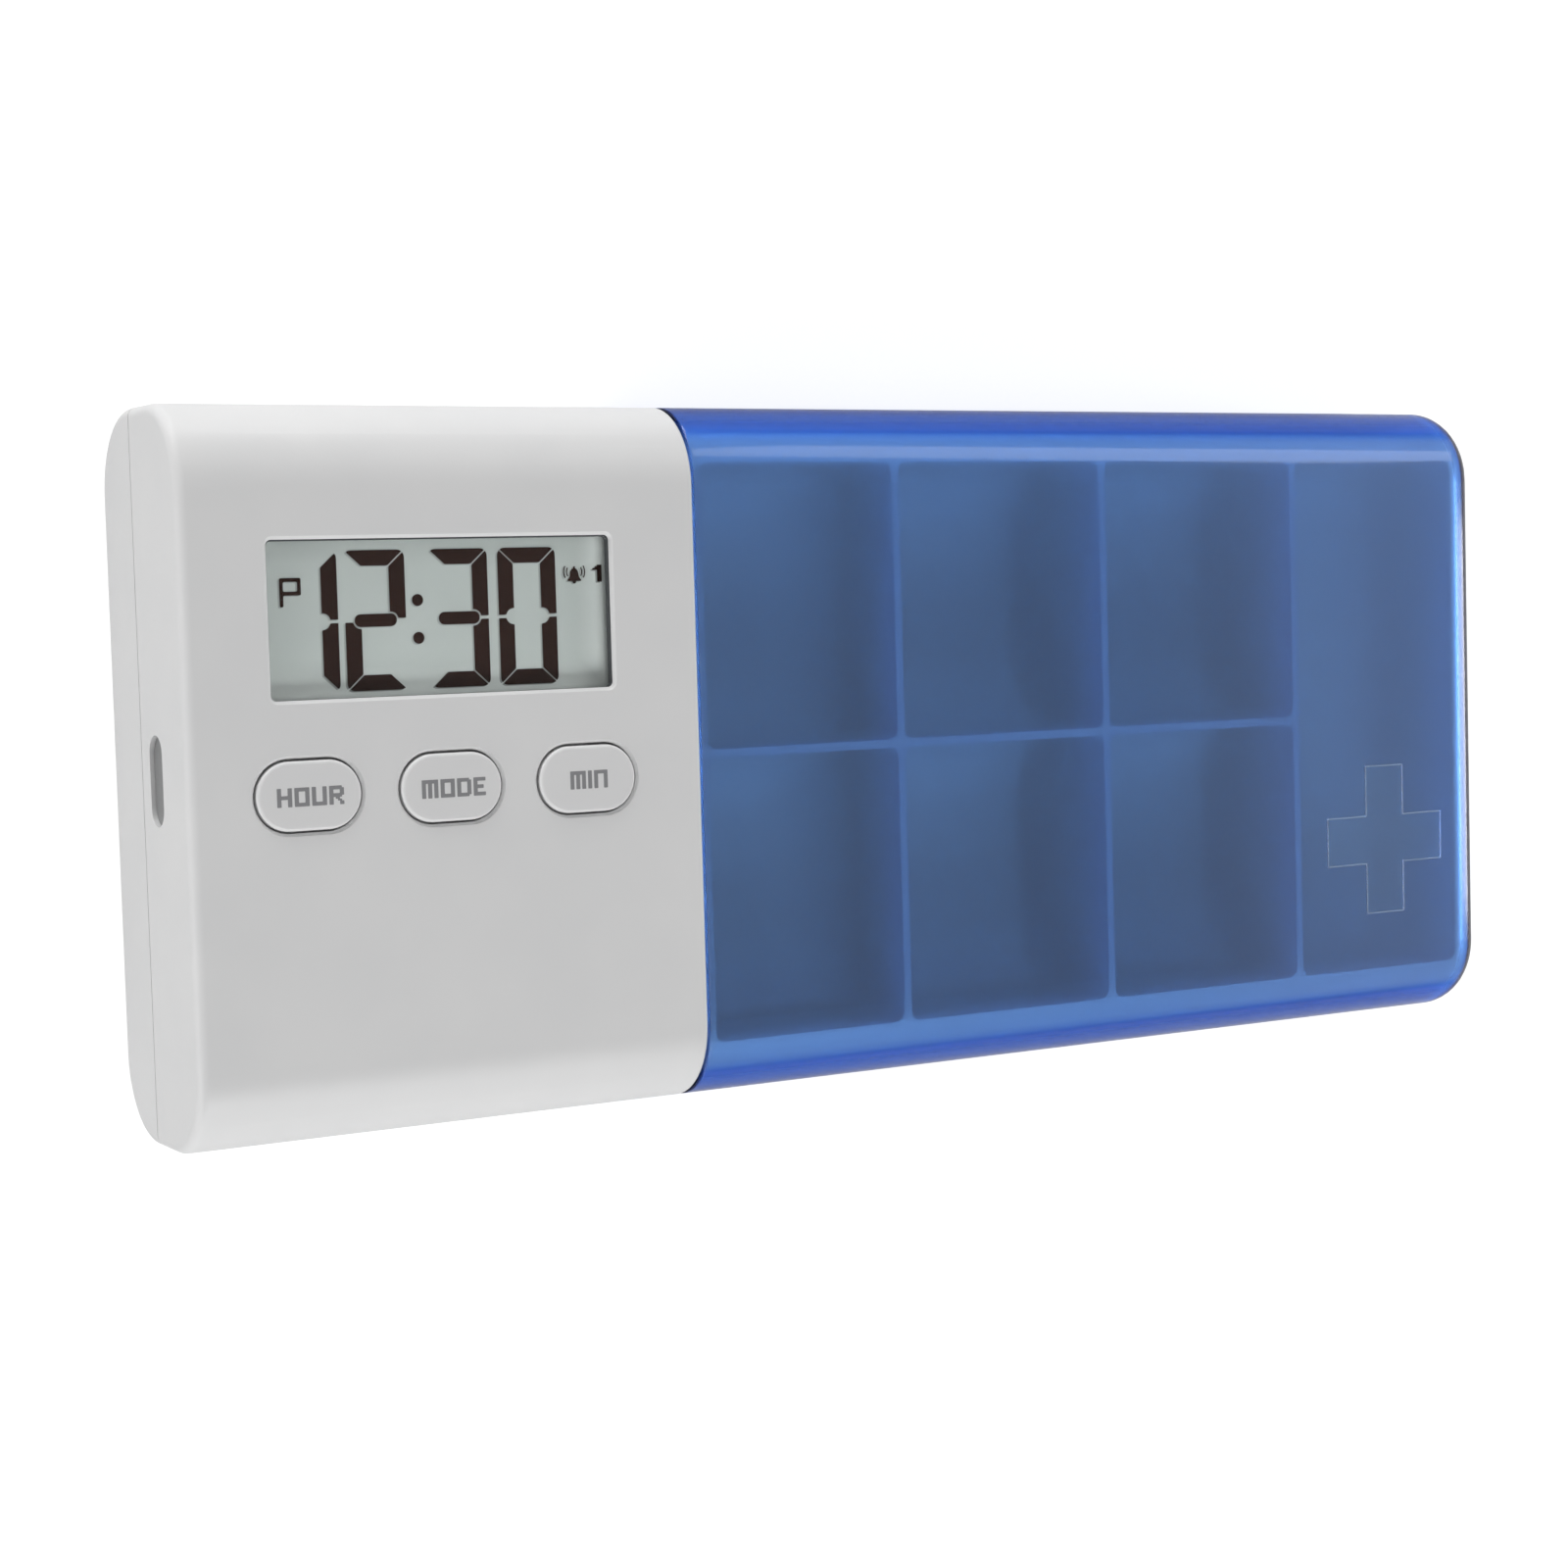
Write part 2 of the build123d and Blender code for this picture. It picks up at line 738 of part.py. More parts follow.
# Three buttons, each over a plunger in its switch
button_top = body_depth + button_rise
plunger_low = switch_top - plunger_seat
well_low = plunger_low - press_travel - plunger_play
for name, place in zip(button_names, button_places):
    with BuildPart() as button:
        with BuildSketch(Plane.XY.offset(flange_low)):
            with Locations(place):
                SlotOverall(button_length, button_width)
        extrude(amount=button_top - flange_low)
        fillet(button.faces().sort_by(Axis.Z)[-1].edges(), button_round)
        with BuildSketch(Plane.XY.offset(flange_low)):
            with Locations(place):
                SlotOverall(button_length + 2 * flange_lap, button_width + 2 * flange_lap)
        extrude(amount=flange_height)
    button.part.label = f"{name}_button"
    export_step(button.part, f"parts/{name}_button.step")

    with BuildPart() as plunger:
        with BuildSketch(Plane.XY.offset(plunger_low)):
            with Locations(place):
                Circle(plunger_radius)
        extrude(amount=flange_low - plunger_low)
    plunger.part.label = f"{name}_plunger"
    export_step(plunger.part, f"parts/{name}_plunger.step")

    with BuildPart() as switch:
        with BuildSketch(Plane.XY.offset(board_top)):
            with Locations(place):
                Rectangle(switch_size, switch_size)
        extrude(amount=switch_height)
        with BuildSketch(Plane.XY.offset(well_low)):
            with Locations(place):
                Circle(plunger_radius + plunger_play)
        extrude(amount=switch_top - well_low, mode=Mode.SUBTRACT)
    switch.part.label = f"{name}_switch"
    export_step(switch.part, f"parts/{name}_switch.step")

# Grey lens in the slot of the end face, with a flange behind the wall
with BuildPart() as lamp_lens:
    with BuildSketch(Plane.YZ.offset(left_end + lens_recess)):
        with Locations((0, lamp_z)):
            SlotOverall(slot_length - 2 * lens_play, slot_height - 2 * lens_play)
    extrude(amount=shell_wall - lens_recess)
    with BuildSketch(Plane.YZ.offset(left_end + shell_wall)):
        with Locations((0, lamp_z)):
            SlotOverall(slot_length + 2 * lens_lap, slot_height + 2 * lens_lap)
    extrude(amount=lens_flange)
lamp_lens.part.label = "lamp_lens"
export_step(lamp_lens.part, "parts/lamp_lens.step")

# Lamp behind the lens, hung from the board
led_x = left_end + shell_wall + lens_flange + lamp_gap
with BuildPart() as alarm_led:
    with Locations((led_x, 0, board_low - led_height)):
        Box(led_depth, led_width, led_height, align=from_left)
    fillet(alarm_led.faces().sort_by(Axis.X)[0].edges(), led_round)
alarm_led.part.label = "alarm_led"
export_step(alarm_led.part, "parts/alarm_led.step")

# Sounder: a brass plate on the ring, with a ceramic disc on it
plate_low = shell_wall + ring_height
plate_radius = ring_radius - sounder_play
with BuildPart() as buzzer_plate:
    with BuildSketch(Plane.XY.offset(plate_low)):
        with Locations((sounder_x, sounder_y)):
            Circle(plate_radius)
    extrude(amount=plate_thickness)
buzzer_plate.part.label = "buzzer_plate"
export_step(buzzer_plate.part, "parts/buzzer_plate.step")

ceramic_low = plate_low + plate_thickness
with BuildPart() as buzzer_ceramic:
    with BuildSketch(Plane.XY.offset(ceramic_low)):
        with Locations((sounder_x, sounder_y)):
            Circle(ceramic_radius)
    extrude(amount=ceramic_thickness)
buzzer_ceramic.part.label = "buzzer_ceramic"
export_step(buzzer_ceramic.part, "parts/buzzer_ceramic.step")

# Two leads from the sounder up to the board, bent by wide arcs
lead_starts = [
    (sounder_x - plate_radius + lead_edge, ceramic_low),
    (sounder_x + ceramic_radius / 2, ceramic_low + ceramic_thickness),
]
with BuildPart() as buzzer_leads:
    for x, z in lead_starts:
        run = Vector(0, lead_shift, board_low - z - 2 * lead_rise)
        turn = run.get_angle(Vector(0, 0, 1))
        bend = bend_share * lead_rise / math.tan(math.radians(turn / 2))
        with BuildLine() as route:
            FilletPolyline(
                (x, sounder_y, z),
                (x, sounder_y, z + lead_rise),
                (x, sounder_y - lead_shift, board_low - lead_rise),
                (x, sounder_y - lead_shift, board_low),
                radius=bend,
            )
        with BuildSketch(Plane(origin=(x, sounder_y, z), z_dir=(0, 0, 1))):
            Circle(lead_radius)
        sweep(path=route.wires()[0])
        print("lead bend radius", round(bend, 2), "length", round(route.wires()[0].length, 2))
buzzer_leads.part.label = "buzzer_leads"
export_step(buzzer_leads.part, "parts/buzzer_leads.step")


# Pan-head screw standing on its head, in the part that is being built
def pan_screw(place, head_low, radius, head, height, reach):
    with BuildSketch(Plane.XY.offset(head_low)) as head_disc:
        with Locations(place):
            Circle(head)
    extrude(head_disc.sketch, amount=height)
    with BuildSketch(Plane.XY.offset(head_low)) as shank:
        with Locations(place):
            Circle(radius)
    extrude(shank.sketch, amount=height + reach)
    with BuildSketch(Plane.XY.offset(head_low)) as drive:
        with Locations(place):
            Rectangle(drive_length, drive_width)
            Rectangle(drive_width, drive_length)
    extrude(drive.sketch, amount=drive_depth, mode=Mode.SUBTRACT)


with BuildPart() as shell_screws:
    for place in post_places:
        pan_screw(place, bore_depth - head_height, screw_radius, head_radius, head_height, screw_length)
shell_screws.part.label = "shell_screws"
export_step(shell_screws.part, "parts/shell_screws.step")

board_screw_reach = board_thickness + small_screw_reach
with BuildPart() as board_screws:
    for place in board_screw_places:
        pan_screw(
            place,
            board_low - small_head_height,
            small_screw_radius,
            small_head_radius,
            small_head_height,
            board_screw_reach,
        )
board_screws.part.label = "board_screws"
export_step(board_screws.part, "parts/board_screws.step")

# Outline of the tray: a rim along both sides reaches out under the sleeve's rounding
with BuildPart() as tray_outline:
    with Locations((unit_end, 0, 0)):
        Box(tray_length, 2 * tray_half, tray_top, align=from_left)
    with Locations((unit_end, 0, tray_top - rim_drop)):
        Box(tray_length, 2 * (tray_half + rim_reach), rim_drop, align=from_left)


# Space of one pocket: square at its mouth, with a floor that curves up into all four walls
def pocket_space(x, y, length, width):
    with BuildPart() as space:
        with BuildSketch(Plane.XY.offset(pocket_floor)):
            with Locations((x, y)):
                RectangleRounded(length, width, pocket_corner)
        extrude(amount=body_depth)
        with BuildSketch(Plane.YZ.offset(x)):
            with Locations((y, pocket_floor + body_depth)):
                RectangleRounded(width, 2 * body_depth, pocket_scoop)
        extrude(amount=length, both=True, mode=Mode.INTERSECT)
        with BuildSketch(Plane.XZ.offset(-y)):
            with Locations((x, pocket_floor + body_depth)):
                RectangleRounded(length, 2 * body_depth, pocket_scoop)
        extrude(amount=width, both=True, mode=Mode.INTERSECT)
    return space.part


# Tray: seven pockets, a collar that fills the sleeve's mouth, and a flanged neck held between the shells
row_height = tray_half - tray_wall - divider_wall / 2
pockets = []
pocket_start = unit_end + collar
for width in split_columns:
    for side in (-1, 1):
        pockets.append((pocket_start + width / 2, side * (row_height + divider_wall) / 2, width, row_height))
    pocket_start += width + divider_wall
pockets.append((pocket_start + last_column / 2, 0, last_column, 2 * (tray_half - tray_wall)))
with BuildPart() as pill_tray:
    extrude(casing_profile(tray_inset, unit_end), amount=tray_length)
    fillet(pill_tray.faces().sort_by(Axis.X)[-1].edges(), cover_end_round - tray_inset)
    add(tray_outline.part, mode=Mode.INTERSECT)
    for pocket in pockets:
        add(pocket_space(*pocket), mode=Mode.SUBTRACT)
    extrude(casing_profile(tray_inset, unit_end), amount=collar)
    with Locations((unit_end - neck_reach + neck_play / 2, 0, neck_low - neck_flange_lap)):
        Box(
            neck_flange,
            neck_width + 2 * neck_flange_lap,
            neck_height + 2 * neck_flange_lap,
            align=from_left,
        )
    with Locations((unit_end - neck_reach + neck_play / 2, 0, neck_low)):
        Box(neck_reach - neck_play / 2 + collar / 2, neck_width, neck_height, align=from_left)
    with Locations((unit_end - neck_reach - overrun, 0, neck_low + neck_wall)):
        Box(
            neck_reach + overrun,
            neck_width - 2 * neck_wall,
            neck_height - 2 * neck_wall,
            align=from_left,
            mode=Mode.SUBTRACT,
        )
pill_tray.part.label = "pill_tray"
export_step(pill_tray.part, "parts/pill_tray.step")

# Sleeve, closed at its outer end, with a plain cross sunk into its face
cross_place = (cover_end - cross_end_margin, cross_side_margin - half_height)
with BuildPart() as slide_cover:
    extrude(casing_profile(0, cover_start), amount=cover_length)
    fillet(slide_cover.faces().sort_by(Axis.X)[-1].edges(), cover_end_round)
    fillet(slide_cover.faces().sort_by(Axis.X)[0].edges(), mouth_round)
    extrude(casing_profile(cover_wall, cover_start), amount=cover_length - cover_wall, mode=Mode.SUBTRACT)
    fillet(
        slide_cover.edges().filter_by_position(Axis.X, cover_end - cover_wall, cover_end - cover_wall),
        cover_end_round - cover_wall,
    )
    with BuildSketch(Plane.XY.offset(body_depth)):
        with Locations(cross_place):
            Rectangle(cross_length, cross_width)
            Rectangle(cross_width, cross_length)
    extrude(amount=-cross_depth, mode=Mode.SUBTRACT)
slide_cover.part.label = "slide_cover"
export_step(slide_cover.part, "parts/slide_cover.step")

print("box", round(box_length, 3), round(body_height, 3), round(body_depth, 3))
print("unit", round(unit_length, 3))
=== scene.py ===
import json
import math

import bmesh
import bpy
from mathutils import Matrix, Vector


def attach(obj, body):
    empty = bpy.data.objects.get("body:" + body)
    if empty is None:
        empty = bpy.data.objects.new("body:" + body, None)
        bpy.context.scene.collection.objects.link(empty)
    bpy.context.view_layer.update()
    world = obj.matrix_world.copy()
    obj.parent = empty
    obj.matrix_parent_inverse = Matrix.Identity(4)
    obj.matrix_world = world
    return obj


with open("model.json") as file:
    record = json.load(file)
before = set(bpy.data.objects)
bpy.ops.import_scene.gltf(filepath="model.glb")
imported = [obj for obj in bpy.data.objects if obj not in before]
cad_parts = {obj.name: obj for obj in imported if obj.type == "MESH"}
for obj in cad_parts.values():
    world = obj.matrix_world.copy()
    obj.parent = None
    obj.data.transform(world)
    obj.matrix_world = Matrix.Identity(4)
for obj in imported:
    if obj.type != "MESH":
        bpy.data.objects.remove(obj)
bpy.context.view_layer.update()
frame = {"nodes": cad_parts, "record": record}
nodes = frame["nodes"]
scene = bpy.context.scene
scene.view_settings.view_transform = "Standard"
mm = 0.001  # sizes below are written in millimetres, and this makes them metres
print("stage: frame loaded,", len(nodes), "pieces")

# Camera, at the photograph's viewing angle
cameraSet = {
    "place": (-154.816, 14.204, 261.488),
    "right": (0.864051, -0.028313, 0.502608),
    "up": (0.055617, 0.997674, -0.039412),
    "lens": 68.25,
    "sensor": 36.0,
    "clipStart": 10.0,
}


def makeCamera(opts):
    data = bpy.data.cameras.new("photoCamera")
    data.lens = opts["lens"]
    data.sensor_width = opts["sensor"]
    data.clip_start = opts["clipStart"] * mm
    camera = bpy.data.objects.new("photoCamera", data)
    scene.collection.objects.link(camera)
    right = Vector(opts["right"])
    up = Vector(opts["up"])
    turn = Matrix((right, up, right.cross(up))).transposed()
    camera.matrix_world = Matrix.LocRotScale(Vector(opts["place"]) * mm, turn.to_quaternion(), None)
    scene.camera = camera


makeCamera(cameraSet)


# Shader helpers
def sums(tree, operation, first, second=0.0):
    node = tree.nodes.new("ShaderNodeMath")
    node.operation = operation
    for socket, value in zip(node.inputs, (first, second)):
        if isinstance(value, float):
            socket.default_value = value
        else:
            tree.links.new(value, socket)
    return node.outputs[0]


def lengthOf(tree, first, second):
    squares = (sums(tree, "POWER", value, 2.0) for value in (first, second))
    return sums(tree, "SQRT", sums(tree, "ADD", *squares))


def rampOf(tree, value, start, end, low, high):
    # goes smoothly from low to high while the value goes from start to end
    ramp = tree.nodes.new("ShaderNodeMapRange")
    ramp.interpolation_type = "SMOOTHSTEP"
    ramp.inputs["From Min"].default_value = start
    ramp.inputs["From Max"].default_value = end
    ramp.inputs["To Min"].default_value = low
    ramp.inputs["To Max"].default_value = high
    tree.links.new(value, ramp.inputs["Value"])
    return ramp.outputs["Result"]


def placeVector(tree):
    return tree.nodes.new("ShaderNodeTexCoord").outputs["Object"]


def placeParts(tree):
    parts = tree.nodes.new("ShaderNodeSeparateXYZ")
    tree.links.new(placeVector(tree), parts.inputs[0])
    return parts.outputs


# Soft studio light: low boxes on all four sides, two raised ones, one overhead and a pale surround
lampSet = {
    "topSide": {"place": (-180, 660, 80), "size": (900, 160), "watts": 4.4},
    "topBand": {"place": (470, 478, 436), "size": (340, 200), "watts": 0.64},
    "leftSide": {"place": (-640, -240, 160), "size": (500, 240), "watts": 1.4},
    "lowSide": {"place": (-200, -680, 120), "size": (900, 200), "watts": 0.9},
    "lowBand": {"place": (60, -670, 580), "size": (440, 300), "watts": 3.1},
    "rightSide": {"place": (690, -30, 250), "size": (130, 420), "watts": 1.25},
    "overhead": {"place": (-200, 0, 850), "size": (420, 420), "watts": 0.3},
}
surroundSet = {"light": 0.15, "seen": 1.0}
mirrorShare = 0.25  # how much of the bright background mirrored rays carry
unscattered = 0.5  # a ray's count of dull surfaces is under this when it has met none


def makeLamp(name, opts):
    data = bpy.data.lights.new(name, "AREA")
    data.shape = "RECTANGLE"
    data.size = opts["size"][0] * mm
    data.size_y = opts["size"][1] * mm
    data.energy = opts["watts"]
    lamp = bpy.data.objects.new(name, data)
    scene.collection.objects.link(lamp)
    lamp.location = Vector(opts["place"]) * mm
    lamp.rotation_euler = (-lamp.location).to_track_quat("-Z", "Y").to_euler()
    lamp.visible_camera = False


def seenByEye(tree):
    # rays that carry the background to the eye: straight or through glass in full, mirrored in part,
    # and none that a dull surface has scattered, so that the lift lights nothing
    rays = tree.nodes.new("ShaderNodeLightPath").outputs
    mirrored = sums(tree, "MULTIPLY", rays["Is Glossy Ray"], mirrorShare)
    straight = sums(tree, "MAXIMUM", rays["Is Camera Ray"], mirrored)
    seen = sums(tree, "MAXIMUM", straight, rays["Is Transmission Ray"])
    return sums(tree, "MULTIPLY", seen, sums(tree, "LESS_THAN", rays["Diffuse Depth"], unscattered))


def makeSurround(opts):
    world = bpy.data.worlds.new("surround")
    scene.world = world
    world.use_nodes = True
    tree = world.node_tree
    tree.nodes.clear()
    output = tree.nodes.new("ShaderNodeOutputWorld")
    mix = tree.nodes.new("ShaderNodeMixShader")
    tree.links.new(seenByEye(tree), mix.inputs["Fac"])
    for socket, strength in ((mix.inputs[1], opts["light"]), (mix.inputs[2], opts["seen"])):
        background = tree.nodes.new("ShaderNodeBackground")
        background.inputs["Color"].default_value = (1.0, 1.0, 1.0, 1.0)
        background.inputs["Strength"].default_value = strength
        tree.links.new(background.outputs[0], socket)
    tree.links.new(mix.outputs[0], output.inputs["Surface"])


# The floor is lifted to white for the eye, and wholly so far away
floorSet = {
    "half": 3000,
    "colour": (0.62, 0.62, 0.62, 1.0),
    "lift": 0.75,
    "farLift": 1.0,
    "fadeFrom": (350.0, 900.0),
}


def makeFloor(opts):
    bm = bmesh.new()
    bmesh.ops.create_grid(bm, x_segments=1, y_segments=1, size=opts["half"] * mm)
    mesh = bpy.data.meshes.new("floor")
    bm.to_mesh(mesh)
    bm.free()
    floor = bpy.data.objects.new("floor", mesh)
    scene.collection.objects.link(floor)
    material = bpy.data.materials.new("paleFloor")
    material.use_nodes = True
    tree = material.node_tree
    tree.nodes.clear()
    output = tree.nodes.new("ShaderNodeOutputMaterial")
    diffuse = tree.nodes.new("ShaderNodeBsdfDiffuse")
    diffuse.inputs["Color"].default_value = opts["colour"]
    lift = tree.nodes.new("ShaderNodeEmission")
    start, end = opts["fadeFrom"]
    parts = placeParts(tree)
    away = lengthOf(tree, parts[0], parts[1])
    strength = rampOf(tree, away, start * mm, end * mm, opts["lift"], opts["farLift"])
    tree.links.new(sums(tree, "MULTIPLY", seenByEye(tree), strength), lift.inputs["Strength"])
    both = tree.nodes.new("ShaderNodeAddShader")
    tree.links.new(diffuse.outputs[0], both.inputs[0])
    tree.links.new(lift.outputs[0], both.inputs[1])
    tree.links.new(both.outputs[0], output.inputs["Surface"])
    mesh.materials.append(material)


for lampName, lampOpts in lampSet.items():
    makeLamp(lampName, lampOpts)
makeSurround(surroundSet)
print("stage: camera and lights")
makeFloor(floorSet)
print("stage: floor")


# Finishes
softDetail = 2.0
fineDetail = 3.0
noiseSpan = (0.3, 0.7)  # where most values of a noise field lie
rimRise = 2.0  # a ramp to this is at 1 halfway, on the rim itself
mixSockets = {"RGBA": (6, 7, 2), "FLOAT": (2, 3, 0)}  # both inputs and the result of each kind of mix
finishUsual = {
    "driftSize": 9.0,
    "grainSize": 0.35,
    "grainDepth": 0.004,
    "metal": 0.0,
    "ior": 1.46,
    "coat": 0.0,
    "coatRough": 0.1,
}


def newMaterial(name):
    material = bpy.data.materials.new(name)
    material.use_nodes = True
    tree = material.node_tree
    tree.nodes.clear()
    output = tree.nodes.new("ShaderNodeOutputMaterial")
    shader = tree.nodes.new("ShaderNodeBsdfPrincipled")
    tree.links.new(shader.outputs["BSDF"], output.inputs["Surface"])
    return material, tree, shader


def noiseField(tree, vector, size, detail):
    # size is the width of the noise's grains in millimetres
    noise = tree.nodes.new("ShaderNodeTexNoise")
    noise.inputs["Scale"].default_value = 1 / (size * mm)
    noise.inputs["Detail"].default_value = detail
    tree.links.new(vector, noise.inputs["Vector"])
    return noise.outputs["Fac"]


def spread(tree, value, low, high):
    span = tree.nodes.new("ShaderNodeMapRange")
    span.inputs["From Min"].default_value = noiseSpan[0]
    span.inputs["From Max"].default_value = noiseSpan[1]
    span.inputs["To Min"].default_value = low
    span.inputs["To Max"].default_value = high
    tree.links.new(value, span.inputs["Value"])
    return span.outputs["Result"]


def mixOf(tree, kind, factor, first, second):
    firstPlace, secondPlace, resultPlace = mixSockets[kind]
    mix = tree.nodes.new("ShaderNodeMix")
    mix.data_type = kind
    for socket, value in ((mix.inputs[firstPlace], first), (mix.inputs[secondPlace], second)):
        if isinstance(value, tuple):
            socket.default_value = (*value, 1.0)
        else:
            tree.links.new(value, socket)
    tree.links.new(factor, mix.inputs[0])
    return mix.outputs[resultPlace]


def addGrain(tree, shader, height, depth):
    bump = tree.nodes.new("ShaderNodeBump")
    bump.inputs["Strength"].default_value = 1.0
    bump.inputs["Distance"].default_value = depth * mm
    tree.links.new(height, bump.inputs["Height"])
    tree.links.new(bump.outputs["Normal"], shader.inputs["Normal"])


def rimField(tree, opts):
    # painted light: 0 over most of a rectangle, rising to 1 at its right and lower edges, to lighten the
    # shade that the window's walls cast there
    parts = placeParts(tree)
    x, y = (value * mm for value in opts["centre"])
    halfX, halfY = opts["half"]
    toRight = sums(tree, "SUBTRACT", parts[0], x)
    toBottom = sums(tree, "SUBTRACT", y, parts[1])
    fields = [
        rampOf(tree, away, (edge - opts["fade"]) * mm, (edge + opts["fade"]) * mm, 0.0, rimRise)
        for away, edge in ((toRight, halfX), (toBottom, halfY))
    ]
    return sums(tree, "MAXIMUM", *fields)


def surfaceFinish(name, special):
    # a colour that drifts a little, a roughness that varies and a fine grain
    opts = {**finishUsual, **special}
    material, tree, shader = newMaterial(name)
    vector = placeVector(tree)
    drift = noiseField(tree, vector, opts["driftSize"], softDetail)
    grain = noiseField(tree, vector, opts["grainSize"], fineDetail)
    colour = mixOf(tree, "RGBA", spread(tree, drift, 0.0, 1.0), opts["colour"], opts["shade"])
    # painted light: the display is lightened towards its right and lower edges, where the window's walls
    # shade it
    if "rim" in opts:
        colour = mixOf(tree, "RGBA", rimField(tree, opts["rim"]), colour, opts["rim"]["colour"])
    tree.links.new(colour, shader.inputs["Base Color"])
    tree.links.new(spread(tree, grain, *opts["rough"]), shader.inputs["Roughness"])
    shader.inputs["Metallic"].default_value = opts["metal"]
    shader.inputs["IOR"].default_value = opts["ior"]
    shader.inputs["Coat Weight"].default_value = opts["coat"]
    shader.inputs["Coat Roughness"].default_value = opts["coatRough"]
    addGrain(tree, shader, grain, opts["grainDepth"])
    return material


def overEdge(tree, value, edge):
    return sums(tree, "MAXIMUM", sums(tree, "SUBTRACT", value, edge * mm), 0.0)


# Sections of the sleeve, from its middle: where its flats end, how wide its edges turn, and its skin's reach
sleeveShape = {
    "flatY": 25.0,
    "turnWide": 5.0,
    "middleZ": 10.0,
    "flatZ": 2.5,
    "endX": 69.6,
    "endShift": 4.1,
    "skin": 2.8,
}


def insideFace(tree, shape):
    # 1 on the faces that look into the sleeve, 0 on its outer skin
    parts = placeParts(tree)
    across = overEdge(tree, sums(tree, "ABSOLUTE", parts[1]), shape["flatY"])
    height = sums(tree, "SUBTRACT", parts[2], shape["middleZ"] * mm)
    height = overEdge(tree, sums(tree, "ABSOLUTE", height), shape["flatZ"])
    ring = overEdge(tree, lengthOf(tree, across, height), shape["endShift"])
    along = overEdge(tree, parts[0], shape["endX"])
    return sums(tree, "LESS_THAN", lengthOf(tree, ring, along), shape["skin"] * mm)


def onTheSides(tree, shape):
    # 0 on the sleeve's flat faces, 1 where its edges turn down
    across = sums(tree, "ABSOLUTE", placeParts(tree)[1])
    return rampOf(tree, across, shape["flatY"] * mm, (shape["flatY"] + shape["turnWide"]) * mm, 0.0, 1.0)


def alongSleeve(tree, opts):
    # the plastic is a little cloudier towards the sleeve's closed end, but not where its edges turn down
    start, end = opts["cloudyFrom"]
    cloudy = rampOf(tree, placeParts(tree)[0], start * mm, end * mm, opts["clear"], opts["clearEnd"])
    return sums(tree, "MAXIMUM", cloudy, onTheSides(tree, sleeveShape))


def underTheEdges(tree, opts):
    # the plastic is seen through at a slant where the sleeve's long edges turn down, and looks deeper there
    start, end = opts["sideFrom"]
    across = sums(tree, "ABSOLUTE", placeParts(tree)[1])
    return rampOf(tree, across, start * mm, end * mm, 0.0, 1.0)


def paintedPocketShade(tree, opts):
    # painted shade, darker down the pockets: 0 at the tops of the pockets, 1 at their floors
    high, low = opts["pocketShadeFrom"]
    return rampOf(tree, placeParts(tree)[2], low * mm, high * mm, 1.0, 0.0)


def clearPlastic(name, opts):
    # see-through plastic that blurs what lies behind it, lets the lamps in and takes its tint from its depth
    material, tree, shader = newMaterial(name)
    vector = placeVector(tree)
    grain = noiseField(tree, vector, opts["grainSize"], softDetail)
    cloud = noiseField(tree, vector, opts["cloudSize"], softDetail)
    colour = mixOf(tree, "RGBA", spread(tree, cloud, 0.0, 1.0), opts["colour"], opts["shade"])
    # painted shade: the tray's colour darkens towards the pockets' floors
    for key, field in (("sideColour", underTheEdges), ("pocketShadeColour", paintedPocketShade)):
        if key in opts:
            colour = mixOf(tree, "RGBA", field(tree, opts), colour, opts[key])
    tree.links.new(colour, shader.inputs["Base Color"])
    rough = spread(tree, grain, *opts["rough"])
    if "roughInside" in opts:
        inside = spread(tree, grain, *opts["roughInside"])
        rough = mixOf(tree, "FLOAT", insideFace(tree, sleeveShape), rough, inside)
    tree.links.new(rough, shader.inputs["Roughness"])
    shader.inputs["IOR"].default_value = opts["ior"]
    shader.inputs["Transmission Weight"].default_value = opts["clear"]
    if "clearEnd" in opts:
        tree.links.new(alongSleeve(tree, opts), shader.inputs["Transmission Weight"])
    path = tree.nodes.new("ShaderNodeLightPath")
    letThrough = tree.nodes.new("ShaderNodeBsdfTransparent")
    letThrough.inputs["Color"].default_value = (*opts["passes"], 1.0)
    if "passesSide" in opts:
        passed = mixOf(tree, "RGBA", onTheSides(tree, sleeveShape), opts["passes"], opts["passesSide"])
        tree.links.new(passed, letThrough.inputs["Color"])
    mix = tree.nodes.new("ShaderNodeMixShader")
    output = next(node for node in tree.nodes if node.type == "OUTPUT_MATERIAL")
    tree.links.new(path.outputs["Is Shadow Ray"], mix.inputs["Fac"])
    tree.links.new(shader.outputs["BSDF"], mix.inputs[1])
    tree.links.new(letThrough.outputs[0], mix.inputs[2])
    tree.links.new(mix.outputs[0], output.inputs["Surface"])
    if "density" in opts:
        depth = tree.nodes.new("ShaderNodeVolumeAbsorption")
        depth.inputs["Color"].default_value = (*opts["tint"], 1.0)
        depth.inputs["Density"].default_value = opts["density"]
        tree.links.new(depth.outputs[0], output.inputs["Volume"])
    return material


